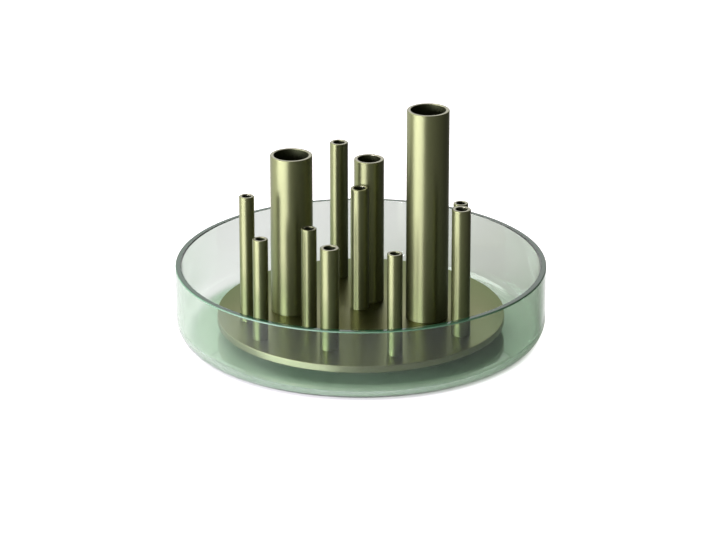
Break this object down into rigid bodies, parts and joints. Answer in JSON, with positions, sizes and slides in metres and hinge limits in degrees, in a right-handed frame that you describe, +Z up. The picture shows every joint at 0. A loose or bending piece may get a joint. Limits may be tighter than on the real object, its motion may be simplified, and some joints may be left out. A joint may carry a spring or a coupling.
{
  "type": "tabletop flower vessel",
  "caption": "Round clear green glass bowl with a lift-out metal plate of upright open tubes for single stems.",
  "frame": {"origin": "middle of the bowl's base, on the surface it stands on", "axes": "+Z up along the tubes, +X to the right and +Y away from a viewer who stands in front"},
  "size_m": [0.25, 0.25, 0.162],
  "materials": {
    "green_glass": "clear polished",
    "olive_metal": "satin anodised",
    "foot_rubber": "soft translucent"
  },
  "bodies": {
    "bowl": {"glass_bowl": "green_glass"},
    "insert": {"base_plate": "olive_metal", "large_tube_right": "olive_metal", "large_tube_left": "olive_metal", "medium_tube": "olive_metal", "slim_tube_back": "olive_metal", "slim_tube_centre": "olive_metal", "slim_tube_front": "olive_metal", "slim_tube_right": "olive_metal", "thin_tube_left": "olive_metal", "thin_tube_front_left": "olive_metal", "thin_tube_inner": "olive_metal", "thin_tube_front": "olive_metal", "thin_tube_right": "olive_metal", "foot_front_left": "foot_rubber", "foot_front_right": "foot_rubber", "foot_back_left": "foot_rubber", "foot_back_right": "foot_rubber"}
  },
  "joints": [
    {"name": "insert_lift", "type": "slide", "parent": "bowl", "child": "insert", "axis": [0, 0, 1], "range_m": [0, 0.06]}
  ]
}
